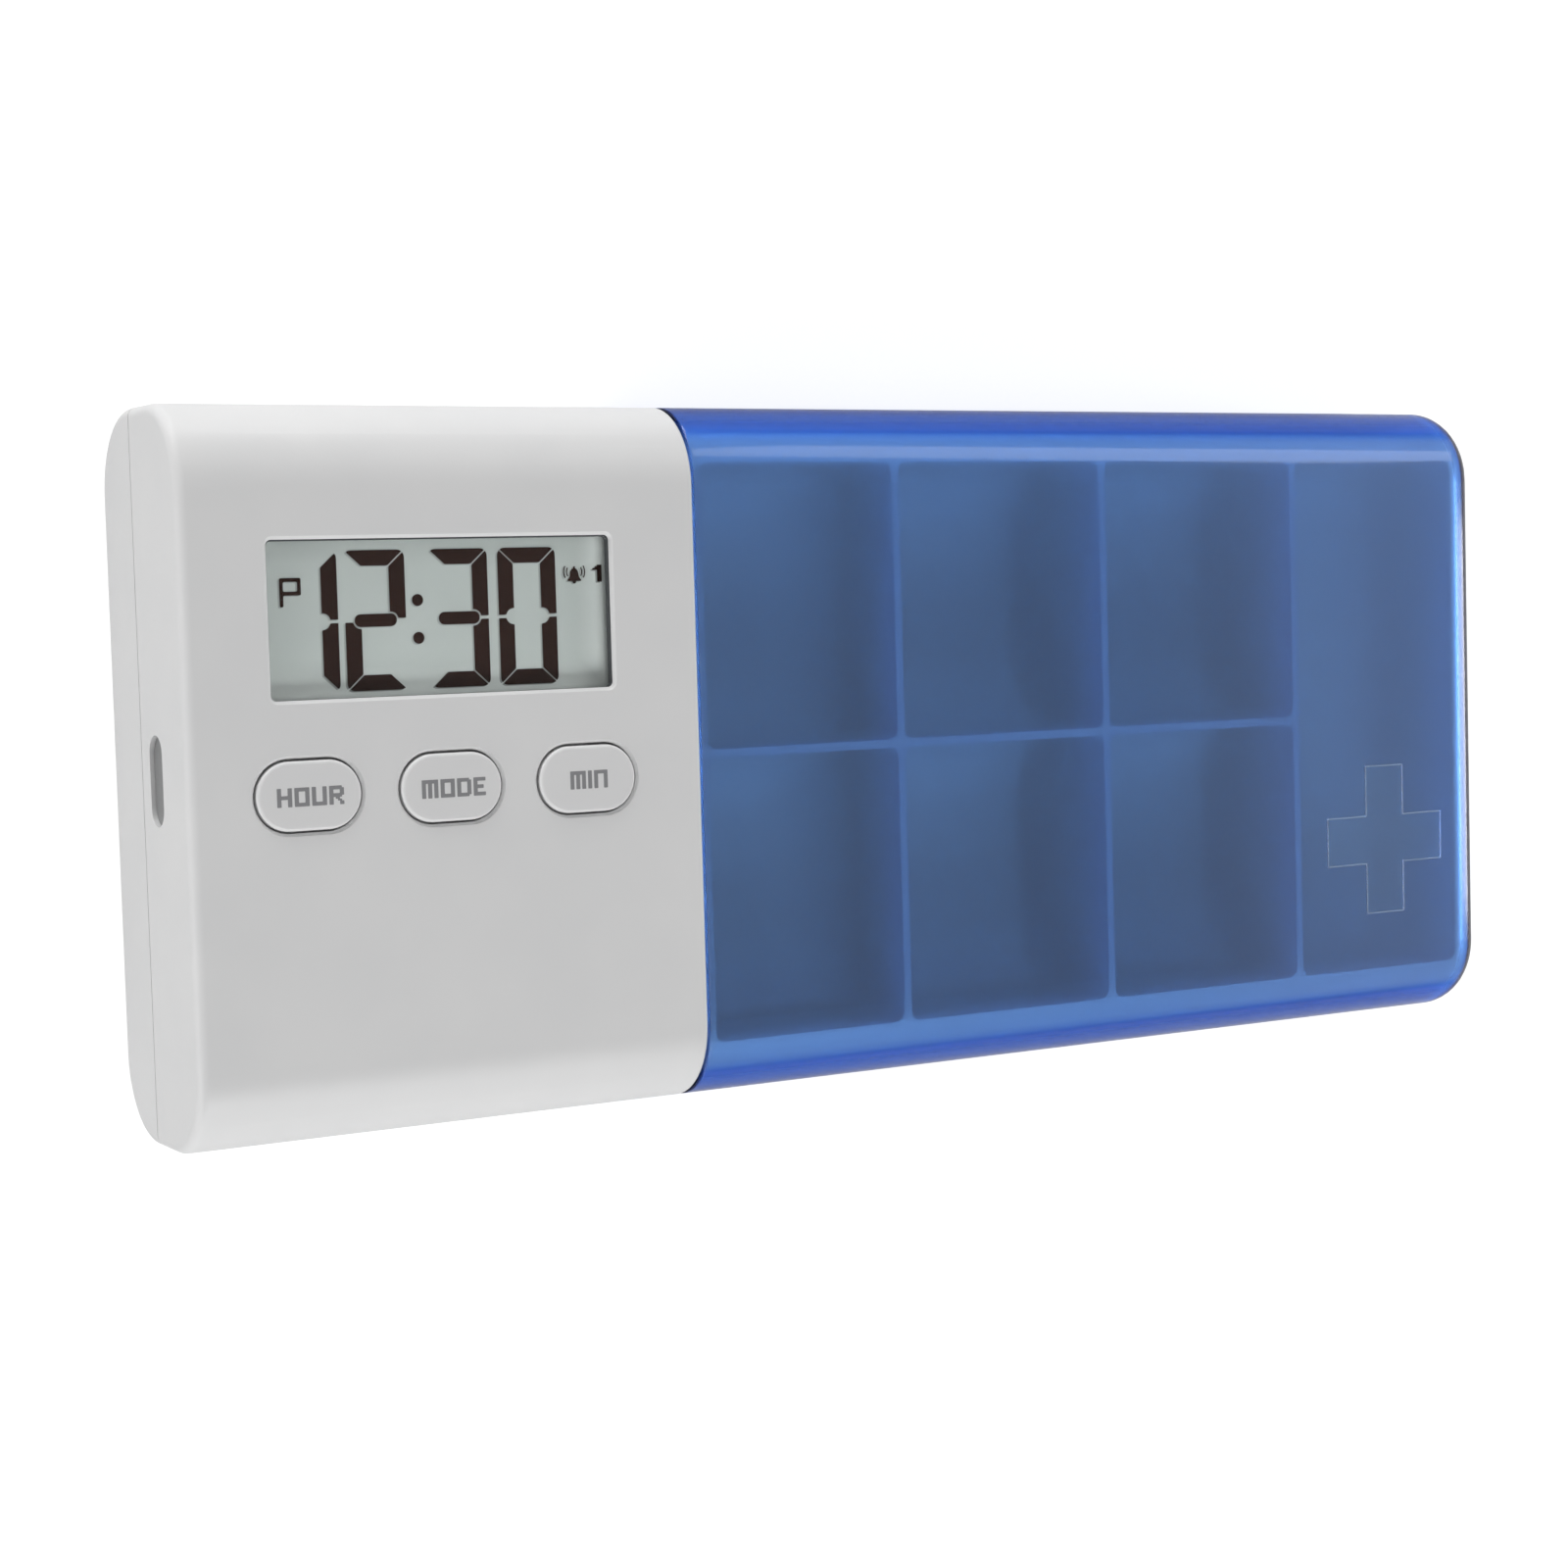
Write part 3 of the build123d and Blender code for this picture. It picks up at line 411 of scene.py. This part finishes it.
finishSet = {
    "casing": {"colour": (0.80, 0.80, 0.80), "shade": (0.775, 0.777, 0.78), "rough": (0.40, 0.50)},
    "button": {"colour": (0.80, 0.80, 0.80), "shade": (0.78, 0.78, 0.785), "rough": (0.34, 0.44)},
    "display_glass": {
        "colour": (0.47, 0.505, 0.492),
        "shade": (0.455, 0.49, 0.478),
        "rough": (0.6, 0.7),
        "ior": 1.1,
        "grainDepth": 0.001,
        # painted light, lightening the display's right and lower edges against the window walls' shade
        "rim": {"centre": (-48.8, 13.6), "half": (16.35, 6.9), "fade": 3.0, "colour": (0.83, 0.87, 0.855)},
    },
    "black_plastic": {"colour": (0.035, 0.035, 0.037), "shade": (0.025, 0.025, 0.026), "rough": (0.4, 0.55)},
    "contact_rubber": {"colour": (0.13, 0.13, 0.14), "shade": (0.05, 0.05, 0.05), "rough": (0.7, 0.85)},
    "board": {"colour": (0.03, 0.2, 0.07), "shade": (0.02, 0.13, 0.05), "rough": (0.3, 0.4), "coat": 0.5},
    "resin": {"colour": (0.02, 0.02, 0.02), "shade": (0.012, 0.012, 0.012), "rough": (0.15, 0.3)},
    "can_steel": {
        "colour": (0.62, 0.62, 0.63),
        "shade": (0.5, 0.5, 0.51),
        "rough": (0.2, 0.35),
        "metal": 1.0,
    },
    "chip_ceramic": {"colour": (0.68, 0.6, 0.45), "shade": (0.6, 0.52, 0.4), "rough": (0.5, 0.65)},
    "plunger": {"colour": (0.12, 0.05, 0.03), "shade": (0.09, 0.04, 0.025), "rough": (0.3, 0.4)},
    "grey_lens": {"colour": (0.26, 0.262, 0.265), "shade": (0.23, 0.232, 0.235), "rough": (0.3, 0.4)},
    "led_resin": {
        "colour": (0.6, 0.05, 0.035),
        "shade": (0.5, 0.035, 0.03),
        "rough": (0.12, 0.2),
        "coat": 0.6,
    },
    "sounder_brass": {
        "colour": (0.72, 0.5, 0.18),
        "shade": (0.6, 0.4, 0.14),
        "rough": (0.25, 0.4),
        "metal": 1.0,
    },
    "lead_skin": {"colour": (0.35, 0.02, 0.015), "shade": (0.28, 0.015, 0.012), "rough": (0.45, 0.55)},
    "cell_jacket": {"colour": (0.03, 0.035, 0.04), "shade": (0.025, 0.03, 0.034), "rough": (0.25, 0.35)},
    "contact_metal": {
        "colour": (0.7, 0.69, 0.66),
        "shade": (0.6, 0.59, 0.57),
        "rough": (0.18, 0.32),
        "metal": 1.0,
    },
    "screw_steel": {
        "colour": (0.45, 0.45, 0.46),
        "shade": (0.36, 0.36, 0.37),
        "rough": (0.3, 0.42),
        "metal": 1.0,
    },
}
clearSet = {
    "blue_sleeve": {
        "colour": (0.97, 0.98, 1.0),
        "shade": (0.95, 0.965, 0.99),
        "rough": (0.085, 0.11),
        "roughInside": (0.28, 0.32),
        "grainSize": 0.5,
        "cloudSize": 14.0,
        "ior": 1.37,
        "clear": 0.965,
        "clearEnd": 0.935,
        "cloudyFrom": (19.0, 62.0),
        "passes": (0.95, 0.93, 0.89),
        "passesSide": (0.90, 0.97, 1.0),
        "sideColour": (0.45, 0.65, 0.97),
        "sideFrom": (28.6, 30.4),
        "tint": (0.069, 0.4625, 0.825),
        "density": 850.0,
    },
    "frosted_tray": {
        "colour": (0.83, 0.83, 0.82),
        "shade": (0.8, 0.8, 0.79),
        # painted shade, darker towards the pockets' floors
        "pocketShadeColour": (0.72, 0.72, 0.7),
        "pocketShadeFrom": (18.4, 12.0),
        "rough": (0.35, 0.45),
        "grainSize": 0.4,
        "cloudSize": 12.0,
        "ior": 1.4,
        "clear": 0.42,
        "passes": (0.3, 0.3, 0.3),
    },
    "clear_pane": {
        "colour": (0.96, 0.97, 0.965),
        "shade": (0.95, 0.965, 0.96),
        "rough": (0.0, 0.02),
        "grainSize": 3.0,
        "cloudSize": 14.0,
        "ior": 1.2,
        "clear": 1.0,
        "passes": (0.96, 0.97, 0.965),
    },
}
materials = {name: surfaceFinish(name, opts) for name, opts in finishSet.items()}
materials.update({name: clearPlastic(name, opts) for name, opts in clearSet.items()})

for part in frame["record"]["subparts"]:
    mesh = nodes[part["node"]].data
    mesh.materials.clear()
    mesh.materials.append(materials[part["material_slot"]])
print("stage: finishes on the packed pieces")

displayInk = surfaceFinish(
    "displayInk",
    {"colour": (0.021, 0.008, 0.006), "shade": (0.018, 0.007, 0.005), "rough": (0.5, 0.6), "ior": 1.1},
)
displayShade = surfaceFinish(
    "displayShade",
    {"colour": (0.33, 0.35, 0.34), "shade": (0.31, 0.33, 0.32), "rough": (0.6, 0.7), "ior": 1.1},
)
gapShade = surfaceFinish(
    "gapShade", {"colour": (0.075, 0.08, 0.085), "shade": (0.06, 0.065, 0.07), "rough": (0.6, 0.7)}
)
# a painted highlight along the sunk cross's edges
paleEdgeHighlight = clearPlastic(
    "paleEdgeHighlight",
    {
        **clearSet["clear_pane"],
        "colour": (0.62, 0.7, 0.78),
        "shade": (0.58, 0.66, 0.75),
        "rough": (0.3, 0.4),
        "clear": 0.82,
    },
)
legendInk = surfaceFinish(
    "legendInk", {"colour": (0.27, 0.27, 0.28), "shade": (0.25, 0.25, 0.26), "rough": (0.45, 0.55)}
)


# Shapes
tinyRise = 1e-7  # metres, over which an edge counts as upright
sharpTurn = 0.3  # radians, over which it is rounded
weldGap = 0.0002  # corners closer than this are made one
cutOverrun = 0.1  # how far a cutting shape goes past what it cuts


def addPiece(name, bm, material, body):
    bmesh.ops.recalc_face_normals(bm, faces=bm.faces[:])
    mesh = bpy.data.meshes.new(name)
    bm.to_mesh(mesh)
    bm.free()
    piece = bpy.data.objects.new(name, mesh)
    scene.collection.objects.link(piece)
    mesh.materials.append(material)
    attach(piece, body)


def pullUp(bm, faces, rise):
    top = bmesh.ops.extrude_face_region(bm, geom=faces)["geom"]
    verts = [v for v in top if isinstance(v, bmesh.types.BMVert)]
    bmesh.ops.translate(bm, vec=(0, 0, rise * mm), verts=verts)


def move(bm, place):
    bmesh.ops.translate(bm, vec=Vector(place) * mm, verts=bm.verts[:])


def rectangle(halfX, halfY):
    return [(-halfX, -halfY), (halfX, -halfY), (halfX, halfY), (-halfX, halfY)]


def addPrism(bm, corners, low, high):
    # a flat outline of a few corners, pulled up into a prism
    base = bm.faces.new([bm.verts.new((x * mm, y * mm, low * mm)) for x, y in corners])
    pullUp(bm, [base], high - low)


def roundUprights(bm, radius, segments):
    uprights = [
        edge
        for edge in bm.edges
        if abs(edge.verts[0].co.z - edge.verts[1].co.z) > tinyRise
        and len(edge.link_faces) == 2
        and edge.calc_face_angle(0) > sharpTurn
    ]
    bmesh.ops.bevel(
        bm,
        geom=uprights,
        offset=radius * mm,
        offset_type="OFFSET",
        affect="EDGES",
        segments=segments,
        profile=0.5,
        material=-1,
    )


def cutShape(bm, cutter):
    # takes the cutter's shapes out of bm's shapes and gives the rest
    holders = []
    for name, shape in (("cutBase", bm), ("cutTool", cutter)):
        bmesh.ops.recalc_face_normals(shape, faces=shape.faces[:])
        mesh = bpy.data.meshes.new(name)
        shape.to_mesh(mesh)
        shape.free()
        holder = bpy.data.objects.new(name, mesh)
        scene.collection.objects.link(holder)
        holders.append(holder)
    base, tool = holders
    cut = base.modifiers.new("cut", "BOOLEAN")
    cut.operation = "DIFFERENCE"
    cut.solver = "EXACT"
    cut.use_self = True
    cut.object = tool
    graph = bpy.context.evaluated_depsgraph_get()
    result = bmesh.new()
    result.from_mesh(bpy.data.meshes.new_from_object(base.evaluated_get(graph)))
    for holder in holders:
        bpy.data.objects.remove(holder)
    bmesh.ops.remove_doubles(result, verts=result.verts[:], dist=weldGap * mm)
    return result


# Display: four digits of seven bars each, and small signs beside them
digitSet = {
    "width": 5.7,
    "height": 12.25,
    "strokeX": 1.5,
    "strokeY": 1.36,
    "corner": 0.68,
    "cornerSteps": 6,
    "slit": 0.13,
    "waistSlit": 0.3,
    "waistReach": 2.2,  # in strokes
    "cutDepth": 4,  # in thicknesses
    "barHeight": 1.12,
    "barLength": 3.95,
    "barGap": 0.16,
    "middle": 13.38,
    "low": 18.21,
    "thick": 0.03,
    "centres": (-61.1, -54.75, -46.8, -40.08),
    "digits": ("1", "2", "3", "0"),
}
capsuleRound = 0.98  # share of half its height
capsuleSteps = 8
litBars = {
    "0": "abcdef",
    "1": "bc",
    "2": "abged",
    "3": "abgcd",
}


def addBox(bm, centre, size, turn=0.0):
    matrix = (
        Matrix.Translation(Vector(centre) * mm)
        @ Matrix.Rotation(turn, 4, "Z")
        @ Matrix.Diagonal((size[0] * mm, size[1] * mm, size[2] * mm, 1.0))
    )
    bmesh.ops.create_cube(bm, size=1.0, matrix=matrix)


def capsule(length, height, low, high):
    # stands round (0, 0)
    bm = bmesh.new()
    half = length / 2
    side = height / 2
    addPrism(bm, rectangle(half, side), low, high)
    roundUprights(bm, side * capsuleRound, capsuleSteps)
    return bm


def joinInto(bm, other):
    mesh = bpy.data.meshes.new("joined")
    other.to_mesh(mesh)
    other.free()
    bm.from_mesh(mesh)
    bpy.data.meshes.remove(mesh)


def digitBars(opts):
    # all bars but the middle one, standing round (0, 0)
    halfX = opts["width"] / 2
    halfY = opts["height"] / 2
    innerX = halfX - opts["strokeX"]
    innerY = halfY - opts["strokeY"]
    bm = bmesh.new()
    addPrism(bm, rectangle(halfX, halfY), 0, opts["thick"])
    roundUprights(bm, opts["corner"], opts["cornerSteps"])
    cutter = bmesh.new()
    deep = opts["cutDepth"] * opts["thick"]
    addBox(cutter, (0, 0, 0), (2 * innerX, 2 * innerY, deep))
    slant = math.atan2(opts["strokeY"], opts["strokeX"])
    reach = 2 * math.hypot(opts["strokeX"], opts["strokeY"])
    for sideX in (-1, 1):
        waist = (opts["waistReach"] * opts["strokeX"], opts["waistSlit"], deep)
        addBox(cutter, (sideX * halfX, 0, 0), waist)
        for sideY in (-1, 1):
            middle = (sideX * (innerX + halfX) / 2, sideY * (innerY + halfY) / 2, 0)
            addBox(cutter, middle, (reach, opts["slit"], deep), sideX * sideY * slant)
    around = 2 * opts["barGap"]
    joinInto(cutter, capsule(opts["barLength"] + around, opts["barHeight"] + around, -deep, deep))
    return cutShape(bm, cutter)


def islandsOf(bm):
    left = set(bm.faces)
    while left:
        group = [left.pop()]
        for face in group:
            for edge in face.edges:
                for other in edge.link_faces:
                    if other in left:
                        left.remove(other)
                        group.append(other)
        yield group


def barName(opts, centre):
    # which of the bars a to f lies at this place
    x, y = centre.x / mm, centre.y / mm
    if abs(y) > opts["height"] / 2 - opts["strokeY"]:
        return "a" if y > 0 else "d"
    if x > 0:
        return "b" if y > 0 else "c"
    return "f" if y > 0 else "e"


def oneDigit(opts, digit):
    bm = digitBars(opts)
    lit = litBars[digit]
    unlit = []
    for group in islandsOf(bm):
        verts = {v for face in group for v in face.verts}
        low = Vector(min(v.co[i] for v in verts) for i in range(3))
        high = Vector(max(v.co[i] for v in verts) for i in range(3))
        if barName(opts, (low + high) / 2) not in lit:
            unlit += group
    bmesh.ops.delete(bm, geom=unlit, context="FACES")
    if "g" in lit:
        joinInto(bm, capsule(opts["barLength"], opts["barHeight"], 0, opts["thick"]))
    return bm


def timeShown(opts):
    bm = bmesh.new()
    for digit, centre in zip(opts["digits"], opts["centres"]):
        shape = oneDigit(opts, digit)
        move(shape, (centre, opts["middle"], opts["low"]))
        joinInto(bm, shape)
    return bm


colonSet = {"places": ((-50.75, 15.05), (-50.75, 11.72)), "radius": 0.53, "sides": 28}


def addDisc(bm, centre, radius, low, thick, sides):
    made = bmesh.ops.create_circle(
        bm,
        cap_ends=True,
        radius=radius * mm,
        segments=sides,
        matrix=Matrix.Translation(Vector((centre[0], centre[1], low)) * mm),
    )
    pullUp(bm, list({face for v in made["verts"] for face in v.link_faces}), thick)


# Letters and small figures, laid out in cells like squared lettering: each row of cells with its count
letterRuns = {
    "H": (("##...##", 4), ("#######", 2), ("##...##", 4)),
    "O": (("#######", 2), ("##...##", 6), ("#######", 2)),
    "U": (("##...##", 8), ("#######", 2)),
    "R": (
        ("######.", 1),
        ("#######", 1),
        ("##...##", 2),
        ("#######", 1),
        ("######.", 1),
        ("##.##..", 1),
        ("##..##.", 1),
        ("##...##", 2),
    ),
    "M": (("########", 2), ("##.##.##", 8)),
    "D": (("######.", 1), ("#######", 1), ("##...##", 6), ("#######", 1), ("######.", 1)),
    "E": (("######", 2), ("##....", 2), ("#####.", 2), ("##....", 2), ("######", 2)),
    "I": (("##", 10),),
    "N": (("#######", 2), ("##...##", 8)),
    "P": (("######", 2), ("#....#", 5), ("######", 2), ("#.....", 6)),
    "1": (("..##", 1), (".###", 1), ("####", 1), ("..##", 7)),
}
letterRows = {
    letter: tuple(row for row, count in runs for _ in range(count)) for letter, runs in letterRuns.items()
}
letterSteps = 3
flatTurn = 0.01  # radians, under which two faces are made one


def cellLetter(rows, cellX, cellY, low, thick, rounding):
    columns = len(rows[0])
    count = len(rows)
    bm = bmesh.new()
    bmesh.ops.create_grid(
        bm,
        x_segments=columns,
        y_segments=count,
        size=0.5,
        matrix=Matrix.Diagonal((columns * cellX * mm, count * cellY * mm, 1.0, 1.0)),
    )
    blank = []
    for face in bm.faces:
        centre = face.calc_center_median()
        column = int(centre.x / (cellX * mm) + columns / 2)
        row = int(count / 2 - centre.y / (cellY * mm))
        if rows[row][column] != "#":
            blank.append(face)
    bmesh.ops.delete(bm, geom=blank, context="FACES")
    pullUp(bm, bm.faces[:], thick)
    bmesh.ops.dissolve_limit(bm, angle_limit=flatTurn, verts=bm.verts[:], edges=bm.edges[:])
    roundUprights(bm, rounding, letterSteps)
    move(bm, (0, 0, low))
    return bm


def word(text, opts):
    widths = [len(letterRows[letter][0]) * opts["cellX"] for letter in text]
    across = sum(widths) + (len(text) - 1) * opts["gap"]
    bm = bmesh.new()
    left = opts["centre"][0] - across / 2
    for letter, width in zip(text, widths):
        shape = cellLetter(
            letterRows[letter], opts["cellX"], opts["cellY"], opts["low"], opts["thick"], opts["rounding"]
        )
        move(shape, (left + width / 2, opts["centre"][1], 0))
        joinInto(bm, shape)
        left += width + opts["gap"]
    return bm


legendSet = {
    "hour": {"text": "HOUR", "body": "hour_key", "centre": (-62.1, -1.58)},
    "mode": {"text": "MODE", "body": "mode_key", "centre": (-48.7, -1.58)},
    "min": {"text": "MIN", "body": "min_key", "centre": (-35.4, -1.58)},
}
legendSize = {"cellX": 0.195, "cellY": 0.163, "gap": 0.22, "low": 20.199, "thick": 0.011, "rounding": 0.05}
for key, opts in legendSet.items():
    addPiece(key + "_legend", word(opts["text"], {**legendSize, **opts}), legendInk, opts["body"])
print("stage: legends on the buttons")

signSize = {"low": 18.21, "thick": 0.03, "gap": 0.0, "rounding": 0.05}
bellSet = {
    "centre": (-35.33, 16.94),
    "side": (
        (0.68, -0.55),
        (0.68, -0.43),
        (0.46, -0.16),
        (0.4, 0.28),
        (0.25, 0.53),
        (0.09, 0.6),
        (0.09, 0.78),
    ),
    "clapper": (0.0, -0.6),
    "clapperRadius": 0.17,
    "clapperSides": 16,
    "arcMiddle": 0.28,
    "arcRadii": (0.76, 1.06),
    "arcWidth": 0.1,
    "arcSpan": 1.05,
    "arcSteps": 8,
}


def soundArc(opts, radius, side):
    # a short edge swept round the bell's head
    bm = bmesh.new()
    start = side - opts["arcSpan"] / 2
    reach = Vector((math.cos(start), math.sin(start), 0))
    ends = [bm.verts.new(reach * (radius + way * opts["arcWidth"] / 2) * mm) for way in (-1, 1)]
    edge = bm.edges.new(ends)
    bmesh.ops.spin(
        bm, geom=[*ends, edge], cent=(0, 0, 0), axis=(0, 0, 1), angle=opts["arcSpan"], steps=opts["arcSteps"]
    )
    pullUp(bm, bm.faces[:], opts["thick"])
    move(bm, (0, opts["arcMiddle"], opts["low"]))
    return bm


def bell(opts):
    bm = bmesh.new()
    right = list(opts["side"])
    left = [(-x, y) for x, y in reversed(right)]
    addPrism(bm, right + left, opts["low"], opts["low"] + opts["thick"])
    addDisc(bm, opts["clapper"], opts["clapperRadius"], opts["low"], opts["thick"], opts["clapperSides"])
    for radius in opts["arcRadii"]:
        for side in (0.0, math.pi):
            joinInto(bm, soundArc(opts, radius, side))
    move(bm, (*opts["centre"], 0))
    return bm


# Painted shadows of the figures on the reflector under them: a flat, darker copy of them, shifted a little
shadeSet = {"shift": (-0.17, -0.09), "low": 18.202, "flatten": 0.15}


def castShade(figures, opts):
    shade = figures.copy()
    down = Matrix.Translation(Vector((*opts["shift"], opts["low"])) * mm)
    flat = Matrix.Diagonal((1.0, 1.0, opts["flatten"], 1.0))
    bmesh.ops.transform(
        shade,
        matrix=down @ flat @ Matrix.Translation((0, 0, -signSize["low"] * mm)),
        verts=shade.verts[:],
    )
    return shade


display = timeShown(digitSet)
for place in colonSet["places"]:
    addDisc(display, place, colonSet["radius"], digitSet["low"], digitSet["thick"], colonSet["sides"])
signP = {"cellX": 0.325, "cellY": 0.168, "rounding": 0.14, "centre": (-62.56, 15.97)}
signOne = {"cellX": 0.235, "cellY": 0.155, "centre": (-33.03, 17.05)}
joinInto(display, word("P", {**signSize, **signP}))
joinInto(display, word("1", {**signSize, **signOne}))
joinInto(display, bell({**signSize, **bellSet}))
addPiece("display_shade", castShade(display, shadeSet), displayShade, "clock_unit")
addPiece("display_figures", display, displayInk, "clock_unit")
print("stage: display")

# The dark joint between the pane and the casing, with painted shade that makes it wider at the top and the
# right, where the window's walls shade the display
jointAndShadeSet = {
    "centre": (-48.8, 13.6),
    "half": (16.34, 6.89),
    "corner": 0.48,
    "cornerSteps": 6,
    "inset": 0.075,
    # painted shade: this shift widens the ring at the top and the right
    "shift": 0.055,
    "low": 19.11,
    "high": 19.67,
}


def windowJointAndShade(opts):
    halfX, halfY = opts["half"]
    shapes = []
    for inset, extra in ((0.0, 0.0), (opts["inset"], cutOverrun)):
        bm = bmesh.new()
        x, y = halfX - inset, halfY - inset
        addPrism(bm, rectangle(x, y), opts["low"] - extra, opts["high"] + extra)
        roundUprights(bm, opts["corner"] - inset, opts["cornerSteps"])
        shapes.append(bm)
    # painted shade: the shifted inner edge makes the ring wider at the top and the right
    move(shapes[1], (-opts["shift"], -opts["shift"], 0))
    ring = cutShape(*shapes)
    move(ring, (*opts["centre"], 0))
    return ring


addPiece("window_joint_and_shade", windowJointAndShade(jointAndShadeSet), gapShade, "clock_unit")

# The moulded edges of the sunk cross, painted pale in a frosted finish as a painted highlight along them
crossSet = {
    "centre": (59.0, -13.1),
    "long": 15.8,
    "wide": 5.2,
    "inset": 0.01,
    "line": 0.13,
    "low": 19.93,
    "high": 19.995,
}


def crossOutline(opts, inset):
    far = opts["long"] / 2 - inset
    near = opts["wide"] / 2 - inset
    quarter = [(far, -near), (far, near), (near, near)]
    corners = []
    for _ in range(4):
        corners += quarter
        quarter = [(-y, x) for x, y in quarter]
    return corners


def crossEdges(opts):
    shapes = []
    for inset, extra in ((opts["inset"], 0.0), (opts["line"], cutOverrun)):
        bm = bmesh.new()
        addPrism(bm, crossOutline(opts, inset), opts["low"] - extra, opts["high"] + extra)
        shapes.append(bm)
    ring = cutShape(*shapes)
    move(ring, (*opts["centre"], 0))
    return ring


addPiece("cross_edges", crossEdges(crossSet), paleEdgeHighlight, "sleeve")
